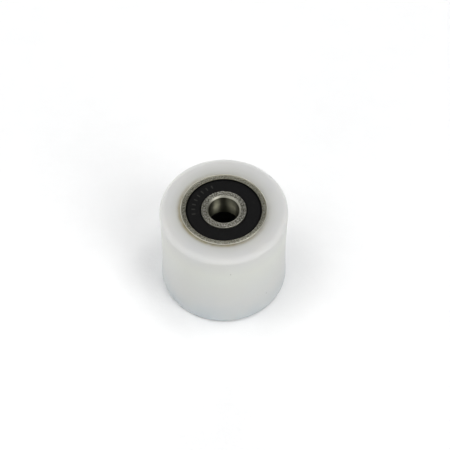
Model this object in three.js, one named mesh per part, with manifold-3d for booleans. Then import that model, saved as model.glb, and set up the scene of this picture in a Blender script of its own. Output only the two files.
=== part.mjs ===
// A plain guide roller: a white nylon body turning on two sealed 608 ball bearings, which a
// distance sleeve holds apart on an M8 bolt. Millimetres, +Z up along the bore. The origin is on the
// bore's axis, in the plane of the body's lower end face, which the roller stands on.
import * as THREE from "three";
import { mergeVertices } from "three/addons/utils/BufferGeometryUtils.js";
import Module from "manifold-3d";

const wasm = await Module();
wasm.setup();

// Driving dimensions of the whole roller.
const bodyLength = 28;
const bearingRecess = 0.15; // from the body's end face down to the bearing's
const rimRadius = 16.5; // the body at its two ends
const waistDepth = 0.3; // the tread is lower by this much half way along
const rimRounding = 1.4;
const seatLeadIn = 0.25; // 45 degree lead-in at the mouth of each bearing seat
const boreRadius = 9.25; // the body's hole between the two seats
const fitGap = 0.01; // between pieces that are pressed or clamped together

// The 608 bearing: two rings and seven balls.
const bearingWidth = 7;
const bearingRadius = 11;
const shaftRadius = 4;
const ringChamfer = 0.4;
const ballCount = 7;
const ballRadius = 3.969 / 2;
const pitchRadius = (bearingRadius + shaftRadius) / 2;
const racewayRadius = 1.02 * ballRadius; // of the groove in each ring, seen in section
const innerShoulder = 6.05; // the rings' edges beside the raceway
const outerShoulder = 8.95;
const innerLand = 5.74; // the inner ring's edge inside the seal lip
const innerStep = 2.45; // height of the step from that edge to the shoulder
const outerLip = 9.77; // the outer ring's edge around the seal
const snapGroove = 10.1; // the groove in the outer ring that holds the seal's bead
const snapGrooveTop = 3.1;
const snapGrooveSlope = 0.1;

// The ribbon cage: two pressed halves and a rivet between each two balls.
const cageInner = 6.65;
const cageOuter = 8.35;
const cageSheet = 0.2;
const archGap = 0.05; // between a ball and the arch over it
const rivetShank = 0.3;
const rivetHead = 0.55;
const rivetHeadTop = 0.4; // radius of the head's flat top
const rivetHeadHeight = 0.16;

// The seals: a steel washer with rubber moulded over its outward side.
const washerBottom = 2.5; // heights from the bearing's mid plane
const washerTop = 2.72;
const washerInner = 6.5;
const washerOuter = 9.35;
const sealFace = 3.25;
const sealEdge = 9.65;
const sealBevel = 0.15;
const lipRadius = 5.8;
const lipBottom = 2.6;
const beadRadius = 10.05;
const beadTop = 2.95;

// The distance sleeve between the inner rings.
const sleeveOuter = 5.65;
const sleeveInner = 4.5;
const sleeveChamfer = 0.25;

// Fineness of the round surfaces.
const bodySegments = 48;
const ringSegments = 32;
const cageSegments = 28;
const rivetSegments = 6;
const ballSegments = [10, 6]; // around, and from pole to pole
const archSegments = 12;
const arcSteps = 4;

const halfWidth = bearingWidth / 2;
const middle = bodyLength / 2;
const spaceLow = bearingRecess + bearingWidth + fitGap; // the space between the two bearings
const spaceHigh = bodyLength - spaceLow;

const finish = (color, roughness, metalness) =>
  new THREE.MeshStandardMaterial({ color, roughness, metalness });
const nylon = finish(0xd8dad6, 0.45, 0);
const ringSteel = finish(0x9a9a92, 0.3, 1);
const ballSteel = finish(0xc4c6c8, 0.08, 1);
const cageSteel = finish(0x8d8b84, 0.4, 1);
const sealRubber = finish(0x1b1c1b, 0.6, 0);
const washerSteel = finish(0x77767a, 0.45, 1);
const blackenedSteel = finish(0x1c1b1a, 0.45, 1);

// The radius at a polygon's corners that puts its flats at the given radius.
const aroundFlats = (radius, segments) => radius / Math.cos(Math.PI / segments);
const ringFlats = (radius) => aroundFlats(radius, ringSegments);

// A solid of revolution about +Z from an outline in radius and height.
function turned(outline, segments) {
  const points = outline.getPoints(arcSteps / 2); // three.js draws an arc in twice as many steps
  return new THREE.LatheGeometry(points, segments).rotateX(Math.PI / 2);
}

// The same from a list of corners, each [radius, height], which closes on itself.
function turnedCorners(corners, segments) {
  const outline = new THREE.Path(corners.map((corner) => new THREE.Vector2(...corner)));
  outline.closePath();
  return turned(outline, segments);
}

function flatRing(inner, outer, low, high, segments) {
  return turnedCorners([[inner, low], [outer, low], [outer, high], [inner, high]], segments);
}

function ball(radius, [around, poleToPole]) {
  return new THREE.SphereGeometry(radius, around, poleToPole).rotateX(Math.PI / 2);
}

// A three.js geometry as a manifold-3d solid, and back.
function solidOf(geometry) {
  const bare = geometry.clone();
  bare.deleteAttribute("normal");
  bare.deleteAttribute("uv");
  const merged = mergeVertices(bare, 1e-4);
  return new wasm.Manifold(
    new wasm.Mesh({
      numProp: 3,
      vertProperties: merged.attributes.position.array,
      triVerts: new Uint32Array(merged.index.array),
    }),
  );
}

function geometryOf(made) {
  const { vertProperties, triVerts } = made.getMesh();
  const geometry = new THREE.BufferGeometry();
  geometry.setAttribute("position", new THREE.BufferAttribute(vertProperties, 3));
  geometry.setIndex(new THREE.BufferAttribute(triVerts, 1));
  geometry.computeVertexNormals();
  return geometry;
}

// The nylon body: rounded rims, a tread in one very flat hollow arc, a bearing seat at each end
// and a plain hole between the seats.
function bodyGeometry() {
  const seat = aroundFlats(bearingRadius + fitGap, bodySegments);
  const rimCentre = rimRadius - rimRounding;
  const treadHalf = middle - rimRounding;
  const treadArc = (treadHalf ** 2 + waistDepth ** 2) / (2 * waistDepth);
  const treadAngle = Math.asin(treadHalf / treadArc);
  const treadCentre = rimRadius - waistDepth + treadArc;
  const outline = new THREE.Path();
  outline.moveTo(seat + seatLeadIn, 0);
  outline.absarc(rimCentre, rimRounding, rimRounding, -Math.PI / 2, 0);
  outline.absarc(treadCentre, middle, treadArc, Math.PI + treadAngle, Math.PI - treadAngle, true);
  outline.absarc(rimCentre, bodyLength - rimRounding, rimRounding, 0, Math.PI / 2);
  outline.lineTo(seat + seatLeadIn, bodyLength);
  outline.lineTo(seat, bodyLength - seatLeadIn);
  outline.lineTo(seat, spaceHigh);
  outline.lineTo(boreRadius, spaceHigh);
  outline.lineTo(boreRadius, spaceLow);
  outline.lineTo(seat, spaceLow);
  outline.lineTo(seat, seatLeadIn);
  outline.closePath();
  return turned(outline, bodySegments);
}

// The steel tube that the bolt clamps between the two inner rings.
function sleeveGeometry() {
  return turnedCorners(
    [
      [sleeveInner, spaceLow],
      [sleeveOuter - sleeveChamfer, spaceLow],
      [sleeveOuter, spaceLow + sleeveChamfer],
      [sleeveOuter, spaceHigh - sleeveChamfer],
      [sleeveOuter - sleeveChamfer, spaceHigh],
      [sleeveInner, spaceHigh],
    ],
    ringSegments,
  );
}

// A bearing ring about its mid plane. The corners run from the ring's plain side round one end to
// the raceway, and are repeated at the other end. The raceway faces inwards or outwards.
function ringGeometry(corners, shoulder, facesInwards) {
  const section = aroundFlats(racewayRadius, 4 * arcSteps); // an arc of at most 90 degrees
  const angle = Math.acos(Math.abs(pitchRadius - shoulder) / section);
  const deepest = facesInwards ? 0 : Math.PI;
  const firstEnd = facesInwards ? 1 : -1;
  const centre = facesInwards ? ringFlats(pitchRadius) : pitchRadius;
  const outline = new THREE.Path();
  outline.moveTo(corners[0][0], firstEnd * corners[0][1]);
  corners.slice(1).forEach(([radius, height]) => outline.lineTo(radius, firstEnd * height));
  outline.absarc(centre, 0, section, deepest + angle, deepest - angle, true);
  corners.toReversed().forEach(([radius, height]) => outline.lineTo(radius, -firstEnd * height));
  outline.closePath();
  return turned(outline, ringSegments);
}

// The outer ring has a ledge and a snap groove for the seal at each end.
function outerRingGeometry() {
  const ledge = washerBottom - fitGap;
  const corners = [
    [bearingRadius, halfWidth - ringChamfer],
    [bearingRadius - ringChamfer, halfWidth],
    [ringFlats(outerLip), halfWidth],
    [ringFlats(outerLip), snapGrooveTop + snapGrooveSlope],
    [ringFlats(snapGroove), snapGrooveTop],
    [ringFlats(snapGroove), ledge],
    [ringFlats(outerShoulder), ledge],
  ];
  return ringGeometry(corners, outerShoulder, true);
}

// The inner ring is stepped down at each end, and the seal's lip runs around the smaller edge.
function innerRingGeometry() {
  const bore = ringFlats(shaftRadius);
  const corners = [
    [bore, halfWidth - ringChamfer],
    [bore + ringChamfer, halfWidth],
    [innerLand, halfWidth],
    [innerLand, innerStep],
    [innerShoulder, innerStep],
  ];
  return ringGeometry(corners, innerShoulder, false);
}

// A seal's rubber, facing up: a lip towards the inner ring, a plain face over the washer, and a
// bead in the outer ring's groove.
function sealGeometry() {
  return turnedCorners(
    [
      [ringFlats(lipRadius), lipBottom],
      [washerInner - fitGap, washerBottom],
      [washerInner - fitGap, washerTop + fitGap],
      [washerOuter + fitGap, washerTop + fitGap],
      [washerOuter + fitGap, washerBottom],
      [beadRadius, washerBottom],
      [beadRadius, beadTop],
      [sealEdge, sealFace - sealBevel],
      [sealEdge - sealBevel, sealFace],
      [ringFlats(lipRadius) + sealBevel, sealFace],
      [ringFlats(lipRadius), sealFace - sealBevel],
    ],
    ringSegments,
  );
}

// Where ball number 0, 1, 2 ... sits on the pitch circle. Half numbers are the middles between.
function placeOnPitch(number) {
  const angle = (number * 2 * Math.PI) / ballCount;
  return [pitchRadius * Math.cos(angle), pitchRadius * Math.sin(angle), 0];
}

// The upper pressed half of the ribbon cage: a flat ring that arches over each ball, with a rivet
// hole in each web between the arches.
function cageHalfGeometry() {
  const inside = aroundFlats(ballRadius + archGap, archSegments);
  const outside = inside + cageSheet;
  const hole = aroundFlats(rivetShank + fitGap, rivetSegments);
  const ring = (top) => solidOf(flatRing(cageInner, cageOuter, fitGap, top, cageSegments));
  const bar = (radius, segments) => new THREE.CylinderGeometry(radius, radius, cageOuter, segments);
  const arch = solidOf(bar(outside, archSegments).translate(0, pitchRadius, 0));
  const hollow = solidOf(bar(inside, archSegments).translate(0, pitchRadius, 0));
  const drill = solidOf(bar(hole, rivetSegments).rotateX(Math.PI / 2).translate(0, pitchRadius, 0));
  const turnFromY = (number) => [0, 0, (number * 360) / ballCount - 90];
  const space = ring(outside + cageSheet);
  let half = ring(fitGap + cageSheet);
  for (let number = 0; number < ballCount; number += 1) {
    half = half.add(arch.rotate(turnFromY(number)).intersect(space));
  }
  for (let number = 0; number < ballCount; number += 1) {
    half = half.subtract(hollow.rotate(turnFromY(number)));
    half = half.subtract(drill.rotate(turnFromY(number + 0.5)));
  }
  return geometryOf(half);
}

// A cage rivet: its shank goes through both webs, and it has a head on each side.
function rivetGeometry() {
  const grip = cageSheet + 2 * fitGap;
  const top = grip + rivetHeadHeight;
  const outline = new THREE.Path();
  outline.moveTo(0, -top);
  outline.lineTo(rivetHeadTop, -top);
  outline.lineTo(rivetHead, -grip);
  outline.lineTo(rivetShank, -grip);
  outline.lineTo(rivetShank, grip);
  outline.lineTo(rivetHead, grip);
  outline.lineTo(rivetHeadTop, top);
  outline.lineTo(0, top);
  return turned(outline, rivetSegments);
}

// One whole bearing about its own mid plane, with names that start with upper or lower.
function bearing(position) {
  const group = new THREE.Group();
  function add(name, geometry, material) {
    const piece = new THREE.Mesh(geometry, material);
    piece.name = `${position}_${name}`;
    group.add(piece);
    return piece;
  }
  add("outer_ring", outerRingGeometry(), ringSteel);
  add("inner_ring", innerRingGeometry(), ringSteel);
  add("cage_top_half", cageHalfGeometry(), cageSteel);
  add("cage_bottom_half", cageHalfGeometry(), cageSteel).rotation.x = Math.PI;
  for (let number = 0; number < ballCount; number += 1) {
    const placed = add(`ball_${number + 1}`, ball(ballRadius, ballSegments), ballSteel);
    placed.position.set(...placeOnPitch(number));
    const rivet = add(`cage_rivet_${number + 1}`, rivetGeometry(), cageSteel);
    rivet.position.set(...placeOnPitch(number + 0.5));
  }
  const washer = flatRing(washerInner, washerOuter, washerBottom, washerTop, ringSegments);
  add("top_seal", sealGeometry(), sealRubber);
  add("top_seal_washer", washer, washerSteel);
  add("bottom_seal", sealGeometry(), sealRubber).rotation.x = Math.PI;
  add("bottom_seal_washer", washer, washerSteel).rotation.x = Math.PI;
  return group;
}

const body = new THREE.Mesh(bodyGeometry(), nylon);
body.name = "roller_body";
const sleeve = new THREE.Mesh(sleeveGeometry(), blackenedSteel);
sleeve.name = "distance_sleeve";
const upperBearing = bearing("upper");
upperBearing.position.z = bodyLength - bearingRecess - halfWidth;
const lowerBearing = bearing("lower");
lowerBearing.position.z = bearingRecess + halfWidth;

const roller = new THREE.Group();
roller.add(body, sleeve, upperBearing, lowerBearing);

export default roller;
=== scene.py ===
"""A white nylon guide roller on two sealed ball bearings, standing on its end in a bright studio."""

import math

import bmesh
import bpy
from mathutils import Matrix, Vector


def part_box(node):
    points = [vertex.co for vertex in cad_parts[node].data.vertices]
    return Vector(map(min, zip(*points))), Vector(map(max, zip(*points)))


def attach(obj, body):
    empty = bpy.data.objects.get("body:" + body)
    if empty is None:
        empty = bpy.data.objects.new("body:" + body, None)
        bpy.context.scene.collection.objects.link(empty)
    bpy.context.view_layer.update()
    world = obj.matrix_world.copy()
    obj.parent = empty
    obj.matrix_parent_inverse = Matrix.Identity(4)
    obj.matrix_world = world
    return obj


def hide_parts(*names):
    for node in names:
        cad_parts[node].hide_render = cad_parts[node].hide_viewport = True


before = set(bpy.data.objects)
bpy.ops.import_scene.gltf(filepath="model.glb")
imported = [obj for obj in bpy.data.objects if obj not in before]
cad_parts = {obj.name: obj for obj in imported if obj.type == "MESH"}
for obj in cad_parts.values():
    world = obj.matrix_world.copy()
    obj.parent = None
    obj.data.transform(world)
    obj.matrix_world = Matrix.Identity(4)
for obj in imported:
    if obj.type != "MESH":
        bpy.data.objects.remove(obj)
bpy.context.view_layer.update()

MM = 0.001

# ---------------------------------------------------------------- sizes, from the frame and in mm
body_low, body_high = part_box("roller_body")
upper_low, upper_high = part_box("upper_outer_ring")
lower_low, lower_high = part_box("lower_outer_ring")
sleeve_low, sleeve_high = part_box("distance_sleeve")

RIM_RADIUS = body_high.x / MM
BODY_LOW = body_low.z / MM
BODY_HIGH = body_high.z / MM
MIDDLE = (BODY_LOW + BODY_HIGH) / 2
BEARING_RADIUS = upper_high.x / MM
HALF_WIDTH = (upper_high.z - upper_low.z) / MM / 2
BEARING_MIDDLES = {
    "upper": (upper_high.z + upper_low.z) / 2,
    "lower": (lower_high.z + lower_low.z) / 2,
}
SPACE_LOW = sleeve_low.z / MM
SPACE_HIGH = sleeve_high.z / MM
FIT_GAP = 0.01

# The nylon body.
WAIST_DEPTH = 0.3
RIM_ROUNDING = 1.4
LIP_REACH = 0.12
LIP_DEPTH = 0.12
LIP_ROUNDING = 0.04
BODY_BORE = 9.25

# The bearing.
SHAFT_RADIUS = 4.0
BALL_RADIUS = 3.969 / 2
BALLS = 7
PITCH_RADIUS = (BEARING_RADIUS + SHAFT_RADIUS) / 2
RACEWAY_RADIUS = 1.02 * BALL_RADIUS
RING_CHAMFER = 0.4
BORE_CHAMFER = 0.42
INNER_SHOULDER = 6.05
OUTER_SHOULDER = 8.95
INNER_LAND = 5.74
INNER_STEP = 2.45
OUTER_LIP = 9.77
SNAP_GROOVE = 10.1
SNAP_GROOVE_TOP = 3.1

# The cage.
CAGE_INNER = 6.65
CAGE_OUTER = 8.35
CAGE_SHEET = 0.2
CUP_GAP = 0.05
RIVET_SHANK = 0.3
RIVET_HEAD = 0.55
RIVET_HEAD_HEIGHT = 0.16

# The seals.
WASHER_BOTTOM = 2.5
WASHER_TOP = 2.72
WASHER_INNER = 6.5
WASHER_OUTER = 9.35
SEAL_FACE = 3.25
SEAL_FACE_INNER = 6.25
SEAL_FACE_OUTER = 9.25
SEAL_EDGE = 9.6
SEAL_EDGE_TOP = 2.95
SEAL_LIP = 5.82
SEAL_LIP_BOTTOM = 2.62
SEAL_LIP_TOP = 3.0
BEAD_RADIUS = 10.05
BEAD_TOP = 2.9
TICK_HEIGHT = 0.05
TICK_INNER = 7.3
TICK_OUTER = 8.3
TICK_SLOPE = 0.05  # half of the step from the face up to a tick
TICK_STARTS = range(112, 190, 11)  # degrees round the seal
TICK_WIDTH = 3  # degrees

# The distance sleeve.
SLEEVE_OUTER = 5.65
SLEEVE_INNER = 4.5


# ---------------------------------------------------------------- meshes
def rounded(corners):
    """Outline points from corners (radius, height, rounding).

    A point just beyond each end of a rounding keeps the smooth shading flat beside it.
    """
    steps = 4
    points = []
    for number, (radius, height, rounding) in enumerate(corners):
        corner = Vector((radius, height))
        if not rounding:
            points.append(corner)
            continue
        before = (Vector(corners[number - 1][:2]) - corner).normalized()
        after = (Vector(corners[(number + 1) % len(corners)][:2]) - corner).normalized()
        reach = rounding / math.tan(before.angle(after) / 2)
        start = corner + before * reach
        end = corner + after * reach
        points.append(start + before * rounding * 0.1)
        for step in range(steps + 1):
            t = step / steps
            points.append(start * (1 - t) ** 2 + corner * 2 * t * (1 - t) + end * t * t)
        points.append(end + after * rounding * 0.1)
    return points


def mesh_from(name, vertices, faces):
    """A smooth mesh, with its faces turned outwards."""
    mesh = bpy.data.meshes.new(name)
    mesh.from_pydata(vertices, [], faces)
    shape = bmesh.new()
    shape.from_mesh(mesh)
    bmesh.ops.recalc_face_normals(shape, faces=shape.faces)
    shape.to_mesh(mesh)
    shape.free()
    mesh.shade_smooth()
    return mesh


def faces_between(copies, count):
    """Faces from each copy of a closed outline of count points to the next, and round to the first."""
    faces = []
    for copy in range(copies):
        here = copy * count
        there = (copy + 1) % copies * count
        for point in range(count):
            after = (point + 1) % count
            faces.append((here + point, there + point, there + after, here + after))
    return faces


def turned(name, outline, segments=192, lift=None):
    """A closed outline (radius, height) in mm turned about Z. lift gives what a point is raised by."""
    vertices = []
    for segment in range(segments):
        angle = 2 * math.pi * segment / segments
        for radius, height in outline:
            raised = lift(radius, height, 360 * segment / segments) if lift else 0
            place = Vector((radius * math.cos(angle), radius * math.sin(angle), height + raised))
            vertices.append(place * MM)
    return mesh_from(name, vertices, faces_between(segments, len(outline)))


def ball_mesh(name):
    shape = bmesh.new()
    bmesh.ops.create_icosphere(shape, subdivisions=4, radius=BALL_RADIUS * MM)
    mesh = bpy.data.meshes.new(name)
    shape.to_mesh(mesh)
    shape.free()
    mesh.shade_smooth()
    return mesh


def arc(centre, radius, start, end, steps):
    """Points on an arc in the outline plane, angles in radians."""
    angles = [start + (end - start) * step / steps for step in range(steps + 1)]
    return [(centre[0] + radius * math.cos(a), centre[1] + radius * math.sin(a)) for a in angles]


def body_mesh(name):
    """Soft rims, a tread that dips half way along, and at each end a seat with a lip over the bearing."""
    seat = BEARING_RADIUS + FIT_GAP
    lip = BEARING_RADIUS - LIP_REACH
    tread_half = MIDDLE - BODY_LOW - RIM_ROUNDING
    tread_arc = (tread_half ** 2 + WAIST_DEPTH ** 2) / (2 * WAIST_DEPTH)
    tread_angle = math.asin(tread_half / tread_arc)
    centre = (RIM_RADIUS - WAIST_DEPTH + tread_arc, MIDDLE)
    tread = arc(centre, tread_arc, math.pi + tread_angle, math.pi - tread_angle, steps=24)
    corners = [(lip, BODY_LOW, LIP_ROUNDING), (RIM_RADIUS, BODY_LOW, RIM_ROUNDING)]
    corners += [(radius, height, 0) for radius, height in tread[1:-1]]
    corners += [
        (RIM_RADIUS, BODY_HIGH, RIM_ROUNDING),
        (lip, BODY_HIGH, LIP_ROUNDING),
        (lip, BODY_HIGH - LIP_DEPTH, 0.03),
        (seat, BODY_HIGH - LIP_DEPTH, 0),
        (seat, SPACE_HIGH, 0.1),
        (BODY_BORE, SPACE_HIGH, 0.1),
        (BODY_BORE, SPACE_LOW, 0.1),
        (seat, SPACE_LOW, 0.1),
        (seat, BODY_LOW + LIP_DEPTH, 0),
        (lip, BODY_LOW + LIP_DEPTH, 0.03),
    ]
    return turned(name, rounded(corners), segments=256)


def sleeve_mesh(name):
    corners = [
        (SLEEVE_INNER, SPACE_LOW, 0.12),
        (SLEEVE_OUTER, SPACE_LOW, 0.25),
        (SLEEVE_OUTER, SPACE_HIGH, 0.25),
        (SLEEVE_INNER, SPACE_HIGH, 0.12),
    ]
    return turned(name, rounded(corners))


def ring_mesh(name, corners, shoulder, faces_inwards):
    """A bearing ring about its mid plane, from one end's corners and the raceway between the ends."""
    angle = math.acos(abs(PITCH_RADIUS - shoulder) / RACEWAY_RADIUS)
    deepest = 0 if faces_inwards else math.pi
    end = rounded([*corners, (shoulder, 0, 0)])[:-1]
    raceway = arc((PITCH_RADIUS, 0), RACEWAY_RADIUS, deepest + angle, deepest - angle, steps=16)
    if not faces_inwards:
        raceway.reverse()
    other_end = [(radius, -height) for radius, height in reversed(end)]
    return turned(name, [*end, *raceway, *other_end])


def outer_ring_mesh(name):
    ledge = WASHER_BOTTOM - FIT_GAP
    corners = [
        (BEARING_RADIUS, 0, 0),
        (BEARING_RADIUS, HALF_WIDTH, RING_CHAMFER),
        (OUTER_LIP, HALF_WIDTH, 0.06),
        (OUTER_LIP, SNAP_GROOVE_TOP + 0.1, 0.04),
        (SNAP_GROOVE, SNAP_GROOVE_TOP, 0.04),
        (SNAP_GROOVE, ledge, 0.04),
        (OUTER_SHOULDER, ledge, 0.1),
    ]
    return ring_mesh(name, corners, OUTER_SHOULDER, True)


def inner_ring_mesh(name):
    corners = [
        (SHAFT_RADIUS, 0, 0),
        (SHAFT_RADIUS, HALF_WIDTH - BORE_CHAMFER, 0.1),
        (SHAFT_RADIUS + BORE_CHAMFER, HALF_WIDTH, 0.1),
        (INNER_LAND, HALF_WIDTH, 0.1),
        (INNER_LAND, INNER_STEP, 0.04),
        (INNER_SHOULDER, INNER_STEP, 0.06),
    ]
    return ring_mesh(name, corners, INNER_SHOULDER, False)


def seal_lift(radius, height, degrees):
    """A row of small raised ticks moulded on the seal's face."""
    on_face = math.isclose(height, SEAL_FACE) and TICK_INNER < radius < TICK_OUTER
    on_tick = any(start <= degrees < start + TICK_WIDTH for start in TICK_STARTS)
    return TICK_HEIGHT if on_face and on_tick else 0


def seal_mesh(name):
    corners = [
        (SEAL_LIP, SEAL_LIP_BOTTOM, 0.05),
        (WASHER_INNER - FIT_GAP, WASHER_BOTTOM, 0.05),
        (WASHER_INNER - FIT_GAP, WASHER_TOP + FIT_GAP, 0),
        (WASHER_OUTER + FIT_GAP, WASHER_TOP + FIT_GAP, 0),
        (WASHER_OUTER + FIT_GAP, WASHER_BOTTOM, 0.05),
        (BEAD_RADIUS, WASHER_BOTTOM, 0.1),
        (BEAD_RADIUS, BEAD_TOP, 0.15),
        (SEAL_EDGE, SEAL_EDGE_TOP, 0.08),
        (SEAL_FACE_OUTER, SEAL_FACE, 0.15),
        (TICK_OUTER + TICK_SLOPE, SEAL_FACE, 0),
        (TICK_OUTER - TICK_SLOPE, SEAL_FACE, 0),
        (TICK_INNER + TICK_SLOPE, SEAL_FACE, 0),
        (TICK_INNER - TICK_SLOPE, SEAL_FACE, 0),
        (SEAL_FACE_INNER, SEAL_FACE, 0.12),
        (SEAL_LIP, SEAL_LIP_TOP, 0.06),
    ]
    return turned(name, rounded(corners), segments=360, lift=seal_lift)


def washer_mesh(name):
    corners = [
        (WASHER_INNER, WASHER_BOTTOM, 0.03),
        (WASHER_OUTER, WASHER_BOTTOM, 0.03),
        (WASHER_OUTER, WASHER_TOP, 0.08),
        (WASHER_INNER, WASHER_TOP, 0.08),
    ]
    return turned(name, rounded(corners))


def rivet_mesh(name):
    """A shank with a domed head at each end, turned about a hole too thin to be seen."""
    grip = CAGE_SHEET + 2 * FIT_GAP
    top = grip + RIVET_HEAD_HEIGHT
    hole = 0.004
    half = rounded([
        (hole, top, 0),
        (RIVET_HEAD, top, 0.12),
        (RIVET_HEAD, grip, 0.01),
        (RIVET_SHANK, grip, 0.01),
    ])
    outline = [*half, *[Vector((radius, -height)) for radius, height in reversed(half)]]
    return turned(name, outline, segments=32)


def cage_half_mesh(name):
    """The upper pressed half: flat webs, and a round cup over each ball, on a polar grid."""
    around = BALLS * 36
    across = 14
    inside = BALL_RADIUS + CUP_GAP

    def heights(radius, angle):
        spacing = 2 * math.pi / BALLS
        off = (angle + spacing / 2) % spacing - spacing / 2
        apart2 = radius ** 2 + PITCH_RADIUS ** 2 - 2 * radius * PITCH_RADIUS * math.cos(off)
        under = math.sqrt(max(0, inside ** 2 - apart2))
        over = math.sqrt(max(0, (inside + CAGE_SHEET) ** 2 - apart2))
        return max(under, FIT_GAP), max(over, FIT_GAP + CAGE_SHEET)

    vertices = []
    for segment in range(around):
        angle = 2 * math.pi * segment / around
        radii = [CAGE_INNER + (CAGE_OUTER - CAGE_INNER) * step / across for step in range(across + 1)]
        low = [(radius, heights(radius, angle)[0]) for radius in radii]
        high = [(radius, heights(radius, angle)[1]) for radius in reversed(radii)]
        for radius, height in [*low, *high]:
            vertices.append(Vector((radius * math.cos(angle), radius * math.sin(angle), height)) * MM)
    return mesh_from(name, vertices, faces_between(around, 2 * (across + 1)))


# ---------------------------------------------------------------- materials
class Look:
    """A node material with one Principled shader, and short ways to add nodes to it.

    place and parts are a point's own coordinates, and radius is its distance from the Z axis.
    """

    def __init__(self, name, **sockets):
        self.material = bpy.data.materials.new(name)
        self.material.use_nodes = True
        self.tree = self.material.node_tree
        self.shader = self.tree.nodes["Principled BSDF"]
        for socket, value in sockets.items():
            self.shader.inputs[socket.replace("_", " ")].default_value = value
        self.place = self.add("ShaderNodeTexCoord").outputs["Object"]
        self.parts = self.add("ShaderNodeSeparateXYZ", {"Vector": self.place}).outputs
        self.radius = self.length(self.parts["X"], self.parts["Y"])

    def add(self, kind, inputs=None, **settings):
        """A new node. Each input is linked where it is a socket, and otherwise set."""
        node = self.tree.nodes.new(kind)
        for key, value in settings.items():
            setattr(node, key, value)
        for key, value in (inputs or {}).items():
            if isinstance(value, bpy.types.NodeSocket):
                self.tree.links.new(value, node.inputs[key])
            else:
                node.inputs[key].default_value = value
        return node

    def math(self, operation, *values):
        return self.add("ShaderNodeMath", dict(enumerate(values)), operation=operation).outputs[0]

    def length(self, x, y):
        return self.math("SQRT", self.math("ADD", self.math("MULTIPLY", x, x), self.math("MULTIPLY", y, y)))

    def noise(self, per_mm, vector=None, detail=3.0, roughness=0.5):
        """Noise from 0 to 1 with about per_mm grains in a millimetre."""
        inputs = {
            "Vector": vector or self.place,
            "Scale": per_mm / MM,
            "Detail": detail,
            "Roughness": roughness,
        }
        return self.add("ShaderNodeTexNoise", inputs).outputs["Fac"]

    def rings(self, per_mm):
        """Noise that changes only with radius and height, for marks left by turning or grinding."""
        inputs = {"X": self.radius, "Y": self.parts["Z"], "Z": 0.0}
        vector = self.add("ShaderNodeCombineXYZ", inputs).outputs[0]
        return self.noise(per_mm, vector, 2.0)

    def spread(self, value, low, high, to_low, to_high):
        """value from low..high mapped to to_low..to_high, and held there beyond."""
        inputs = {"Value": value, "From Min": low, "From Max": high, "To Min": to_low, "To Max": to_high}
        return self.add("ShaderNodeMapRange", inputs).outputs[0]

    def ramp(self, value, stops):
        """A colour ramp from stops of (position, colour)."""
        node = self.add("ShaderNodeValToRGB", {"Fac": value})
        while len(node.color_ramp.elements) < len(stops):
            node.color_ramp.elements.new(0.5)
        for element, (position, colour) in zip(node.color_ramp.elements, stops):
            element.position = position
            element.color = (*colour, 1)
        return node.outputs[0]

    def mix(self, factor, a, b):
        """Colour a at factor 0 and b at factor 1. A colour mix takes them in its sockets 6 and 7."""
        node = self.add("ShaderNodeMix", {"Factor": factor}, data_type="RGBA")
        for socket, value in ((node.inputs[6], a), (node.inputs[7], b)):
            if isinstance(value, bpy.types.NodeSocket):
                self.tree.links.new(value, socket)
            else:
                socket.default_value = (*value, 1)
        return node.outputs[2]

    def bump(self, height, distance_mm):
        inputs = {"Height": height, "Distance": distance_mm * MM}
        previous = self.shader.inputs["Normal"]
        if previous.is_linked:
            inputs["Normal"] = previous.links[0].from_socket
        self.use("Normal", self.add("ShaderNodeBump", inputs).outputs[0])

    def grind(self):
        """Lays the anisotropy round the Z axis, as grinding marks run."""
        self.use("Tangent", self.add("ShaderNodeTangent", direction_type="RADIAL", axis="Z").outputs[0])

    def use(self, socket, value):
        self.tree.links.new(value, self.shader.inputs[socket])


def milk_and_painted_shade(look):
    """Milky white with faint clouds, painted darker and bluer towards the low end as shade, and a darker
    painted top end.
    """
    height = look.spread(look.parts["Z"], BODY_LOW * MM, BODY_HIGH * MM, 0.0, 1.0)
    # Painted shade: darker and bluer towards the low end, and the top end set a little darker than the
    # side.
    milk_and_shade = look.ramp(height, [
        (0.0, (0.42, 0.46, 0.48)),
        (0.3, (0.50, 0.51, 0.505)),
        (0.75, (0.553, 0.565, 0.528)),
        (1.0, (0.504, 0.506, 0.502)),
    ])
    cloudy = look.spread(look.noise(0.12, detail=2.0), 0.35, 0.65, 0.0, 0.35)
    return look.mix(cloudy, milk_and_shade, (0.53, 0.525, 0.495))


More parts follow.
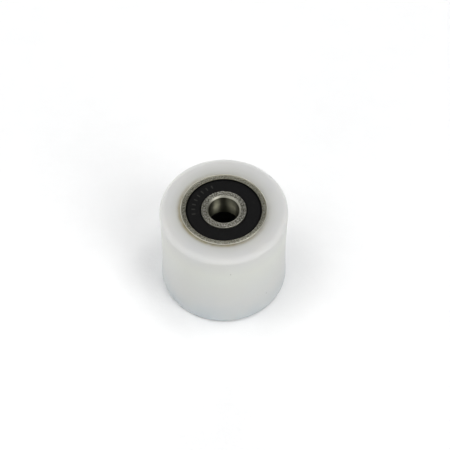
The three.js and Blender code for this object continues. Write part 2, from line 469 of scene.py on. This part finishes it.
def seat_colour(look, clean):
    """Painted shade at the seats, olive stain and painted shade beside them, most to -X -Y, and a painted
    lip highlight.
    """
    lip = (BEARING_RADIUS + LIP_REACH) * MM
    # Painted shade: the nylon is coloured darker within 3 mm of the seat's lip, for the shade the bearing
    # seat throws.
    away = look.math("SUBTRACT", look.radius, lip)
    near_seat = look.spread(away, 0.0, 3 * MM, 0.0, 1.0)
    shade = look.ramp(near_seat, [(0.0, (1, 1, 1)), (0.5, (0.5,) * 3), (1.0, (0, 0, 0))])
    shaded = look.mix(look.math("MULTIPLY", shade, 0.6), clean, (0.42, 0.42, 0.38))

    # Part grease stain and part painted shade: an olive darkening beside the seat, strongest towards -X -Y.
    across = look.add("ShaderNodeVectorMath", {0: look.place, 1: (-0.6, -0.8, 0)}, operation="DOT_PRODUCT")
    towards = look.math("DIVIDE", across.outputs["Value"], look.radius)
    patchy = look.spread(look.noise(0.5), 0.3, 0.7, 0.7, 1.2)
    strength = look.math("MULTIPLY", look.spread(towards, -0.8, 1, 0.1, 1.0), patchy)
    reach = look.spread(away, 0.0, 1.3 * MM, 0.0, 1.0)
    fade = look.ramp(reach, [(0.0, (0.95,) * 3), (0.35, (0.8,) * 3), (0.7, (0.2,) * 3), (1.0, (0, 0, 0))])
    stain_and_shade = look.mix(look.math("MULTIPLY", fade, strength), shaded, (0.25, 0.21, 0.105))
    # Painted highlight: the lip is coloured pale cream where its edge catches the light.
    lip_highlight = look.spread(look.radius, lip - 0.04 * MM, lip + 0.04 * MM, 1.0, 0.0)
    return look.mix(lip_highlight, stain_and_shade, (0.72, 0.70, 0.57))


def nylon():
    """Natural nylon that light goes into, with fine turning marks and a few dark specks."""
    look = Look("nylon", Specular_IOR_Level=0.25, Subsurface_Weight=1.0, Subsurface_Scale=0.006)
    look.shader.subsurface_method = "RANDOM_WALK"
    look.shader.inputs["Subsurface Radius"].default_value = (1.0, 0.98, 0.93)
    colour = seat_colour(look, milk_and_painted_shade(look))
    cells = look.add("ShaderNodeTexVoronoi", {"Vector": look.place, "Scale": 0.24 / MM})
    specks = look.spread(cells.outputs["Distance"], 0.02, 0.045, 0.8, 0.0)
    look.use("Base Color", look.mix(specks, colour, (0.12, 0.11, 0.09)))
    look.bump(look.rings(6.0), 0.004)
    look.bump(look.noise(2.0), 0.006)
    look.use("Roughness", look.spread(look.noise(1.5), 0.3, 0.7, 0.5, 0.62))
    return look.material


def ring_steel(name, dark, middle, light, chamfer):
    """Bearing steel with a mottled face and fine rings from grinding. The chamfers are plain and duller."""
    look = Look(name, Metallic=1.0, Roughness=0.34, Anisotropic=0.3, Anisotropic_Rotation=0.25)
    look.grind()
    speckle = look.noise(2.9, detail=3.0, roughness=0.6)
    mottle = look.spread(speckle, 0.36, 0.64, 0.0, 1.0)
    tone = look.ramp(mottle, [(0.0, dark), (0.5, middle), (1.0, light)])
    geometry = look.add("ShaderNodeNewGeometry")
    normal = look.add("ShaderNodeSeparateXYZ", {0: geometry.outputs["True Normal"]})
    flat = look.spread(look.math("ABSOLUTE", normal.outputs["Z"]), 0.85, 0.98, 0.0, 1.0)
    look.use("Base Color", look.mix(flat, chamfer, tone))
    worn = look.spread(look.noise(4.0), 0.3, 0.7, 0.28, 0.42)
    look.use("Roughness", look.spread(flat, 0.0, 1.0, 0.5, worn))
    look.bump(look.rings(14.0), 0.003)
    look.bump(look.math("MULTIPLY", speckle, flat), 0.006)
    return look.material


def painted_shade_bore_steel():
    """The inner ring's bore: ground round its axis, so it spreads light up and down; coloured dark as
    painted shade.
    """
    look = Look("painted_shade_bore_steel", Metallic=1.0, Roughness=0.4, Anisotropic=1.0, Anisotropic_Rotation=0.25)
    look.grind()
    # Painted shade: far darker steel than the ring's faces, for the shade down inside the bore.
    look.use("Base Color", look.mix(look.rings(3.0), (0.112, 0.11, 0.08), (0.144, 0.141, 0.105)))
    look.use("Roughness", look.spread(look.rings(9.0), 0.3, 0.7, 0.37, 0.43))
    return look.material


def ball_steel():
    look = Look("ball_steel", Metallic=1.0, Roughness=0.08)
    look.use("Base Color", look.mix(look.noise(0.8), (0.72, 0.73, 0.74), (0.62, 0.62, 0.62)))
    look.use("Roughness", look.spread(look.noise(5.0), 0.3, 0.7, 0.05, 0.12))
    return look.material


def sheet_steel(name, light, dark, grain):
    """Pressed sheet steel with a rolled grain."""
    look = Look(name, Metallic=1.0, Roughness=0.4)
    stretched = look.add("ShaderNodeMapping", {"Vector": look.place, "Scale": (1.0, 0.08, 1.0)}).outputs[0]
    rolled = look.noise(grain, stretched)
    look.use("Base Color", look.mix(look.spread(rolled, 0.3, 0.7, 0.0, 1.0), dark, light))
    look.use("Roughness", look.spread(look.noise(2.5), 0.3, 0.7, 0.3, 0.5))
    look.bump(rolled, 0.004)
    return look.material


def seal_rubber():
    """Black nitrile rubber with a fine moulded grain and a trace of dust."""
    look = Look("seal_rubber", Roughness=0.5, Specular_IOR_Level=0.08)
    dust = look.spread(look.noise(1.1, detail=5.0, roughness=0.7), 0.5, 0.8, 0.0, 1.0)
    black = look.mix(dust, (0.003, 0.003, 0.003), (0.007, 0.007, 0.0065))
    on_tick = look.spread(look.parts["Z"], (SEAL_FACE + 0.02) * MM, (SEAL_FACE + 0.04) * MM, 0.0, 1.0)
    look.use("Base Color", look.mix(on_tick, black, (0.02, 0.02, 0.018)))
    look.use("Roughness", look.spread(look.noise(2.0), 0.3, 0.7, 0.48, 0.64))
    look.bump(look.noise(12.0, detail=2.0), 0.004)
    return look.material


def sleeve_steel():
    """Steel coloured almost black, with turning marks."""
    look = Look("sleeve_steel", Metallic=1.0, Roughness=0.5)
    look.use("Base Color", look.mix(look.noise(0.6), (0.05, 0.05, 0.048), (0.08, 0.078, 0.072)))
    look.use("Roughness", look.spread(look.rings(5.0), 0.3, 0.7, 0.42, 0.6))
    look.bump(look.rings(5.0), 0.01)
    return look.material


# ---------------------------------------------------------------- the pieces
looks = {
    "nylon": nylon(),
    "ring_steel": ring_steel(
        "ring_steel",
        dark=(0.155, 0.148, 0.11),
        middle=(0.31, 0.298, 0.238),
        light=(0.51, 0.50, 0.41),
        chamfer=(0.25, 0.238, 0.18),
    ),
    "inner_ring_steel": ring_steel(
        "inner_ring_steel",
        dark=(0.10, 0.095, 0.074),
        middle=(0.28, 0.27, 0.225),
        light=(0.62, 0.61, 0.54),
        chamfer=(0.36, 0.355, 0.30),
    ),
    "painted_shade_bore_steel": painted_shade_bore_steel(),
    "ball_steel": ball_steel(),
    "cage_steel": sheet_steel("cage_steel", (0.60, 0.59, 0.56), (0.45, 0.44, 0.42), 2.0),
    "washer_steel": sheet_steel("washer_steel", (0.52, 0.51, 0.52), (0.38, 0.38, 0.39), 1.5),
    "seal_rubber": seal_rubber(),
    "sleeve_steel": sleeve_steel(),
}


def add_object(name, data):
    made = bpy.data.objects.new(name, data)
    bpy.context.scene.collection.objects.link(made)
    return made


def piece(node, mesh, slot, body, place=(0, 0, 0), upside_down=False):
    """Stands in for a CAD node and rides on its body. A mesh with no finish takes its slot's."""
    made = add_object(node + "_fine", mesh)
    if not mesh.materials:
        mesh.materials.append(looks[slot])
    turn = Matrix.Rotation(math.pi, 4, "X") if upside_down else Matrix.Identity(4)
    made.matrix_world = Matrix.Translation(place) @ turn
    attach(made, body)
    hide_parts(node)


def on_pitch(number, height):
    """Where ball 0, 1, 2 ... sits. Half numbers are the middles between."""
    angle = 2 * math.pi * number / BALLS
    return (PITCH_RADIUS * MM * math.cos(angle), PITCH_RADIUS * MM * math.sin(angle), height)


piece("roller_body", body_mesh("roller_body_fine"), "nylon", "roller")
piece("distance_sleeve", sleeve_mesh("distance_sleeve_fine"), "sleeve_steel", "hub")

for end, height in BEARING_MIDDLES.items():
    middle = (0, 0, height)
    cage = end + "_cage"
    piece(f"{end}_outer_ring", outer_ring_mesh(f"{end}_outer_ring_fine"), "ring_steel", "roller", middle)
    ring = inner_ring_mesh(f"{end}_inner_ring_fine")
    ring.materials.append(looks["inner_ring_steel"])
    ring.materials.append(looks["painted_shade_bore_steel"])
    for face in ring.polygons:
        on_bore = face.center.xy.length < (SHAFT_RADIUS + FIT_GAP) * MM
        face.material_index = 1 if on_bore else 0
    piece(f"{end}_inner_ring", ring, "ring_steel", "hub", middle)
    top_half = cage_half_mesh(f"{end}_cage_top_fine")
    low_half = cage_half_mesh(f"{end}_cage_low_fine")
    piece(f"{end}_cage_top_half", top_half, "cage_steel", cage, middle)
    piece(f"{end}_cage_bottom_half", low_half, "cage_steel", cage, middle, upside_down=True)
    ball = ball_mesh(f"{end}_ball")
    rivet = rivet_mesh(f"{end}_rivet")
    for number in range(BALLS):
        name = f"{end}_ball_{number + 1}"
        piece(name, ball, "ball_steel", name, on_pitch(number, height))
        piece(f"{end}_cage_rivet_{number + 1}", rivet, "cage_steel", cage, on_pitch(number + 0.5, height))
    for side, upside_down in (("top", False), ("bottom", True)):
        seal = f"{end}_{side}_seal"
        piece(seal, seal_mesh(seal + "_fine"), "seal_rubber", "roller", middle, upside_down)
        washer = seal + "_washer"
        piece(washer, washer_mesh(washer + "_fine"), "washer_steel", "roller", middle, upside_down)


# ---------------------------------------------------------------- floor, light and camera
def floor():
    mesh = bpy.data.meshes.new("floor")
    half = 3.0  # metres
    corners = [(-half, -half, 0), (half, -half, 0), (half, half, 0), (-half, half, 0)]
    mesh.from_pydata(corners, [], [(0, 1, 2, 3)])
    made = add_object("floor", mesh)
    look = Look("paper_floor", Roughness=0.8)
    look.use("Base Color", look.mix(look.noise(0.15), (0.86, 0.86, 0.86), (0.89, 0.89, 0.89)))
    look.bump(look.noise(0.9, detail=3.0, roughness=0.6), 0.08)
    mesh.materials.append(look.material)


def soft_light(name, azimuth, elevation, size, power):
    """A square softbox that faces the roller. Azimuth 0 is behind it, 90 to its right."""
    distance = 0.9
    light = bpy.data.lights.new(name, "AREA")
    light.size = size
    light.energy = power
    made = add_object(name, light)
    a = math.radians(azimuth)
    e = math.radians(elevation)
    towards = Vector((math.sin(a) * math.cos(e), math.cos(a) * math.cos(e), math.sin(e)))
    made.location = Vector((0, 0, MIDDLE * MM)) + towards * distance
    made.rotation_euler = towards.to_track_quat("Z", "Y").to_euler()


def studio():
    world = bpy.data.worlds.new("studio")
    world.use_nodes = True
    background = world.node_tree.nodes["Background"].inputs
    background["Color"].default_value = (0.95, 0.97, 1.0, 1)
    background["Strength"].default_value = 0.13
    bpy.context.scene.world = world
    soft_light("over_right_box", 75, 72, 0.3, 2.15)
    soft_light("over_left_box", -75, 72, 0.3, 1.3)
    soft_light("high_left_box", -112, 58, 0.45, 1.5)
    soft_light("high_right_box", 126, 50, 0.4, 2.2)
    soft_light("left_box", -95, 28, 0.5, 0.65)
    soft_light("front_left_box", -138, 14, 0.6, 1.1)
    soft_light("low_left_box", -152, 8, 0.6, 1.8)
    soft_light("front_right_box", 136, 18, 0.6, 2.8)
    soft_light("back_left_box", -60, 15, 0.6, 1.4)
    soft_light("back_box", 0, 12, 0.8, 3.9)
    bpy.context.scene.view_settings.view_transform = "Standard"


def camera():
    """Looks along +Y and down, with the middle of the upper end a little off the picture's centre."""
    elevation = math.radians(54.5)
    distance = 440 * MM
    aim_right = 0.30 * MM
    aim_down = 4.09 * MM
    forward = Vector((0, math.cos(elevation), -math.sin(elevation)))
    up = Vector((0, math.sin(elevation), math.cos(elevation)))
    lens = bpy.data.cameras.new("camera")
    lens.sensor_width = 36
    lens.lens = 138.2
    lens.clip_start = 0.01
    made = add_object("camera", lens)
    target = Vector((0, 0, body_high.z))
    made.location = target - forward * distance + Vector((1, 0, 0)) * aim_right - up * aim_down
    made.rotation_euler = forward.to_track_quat("-Z", "Y").to_euler()
    bpy.context.scene.camera = made


floor()
studio()
camera()
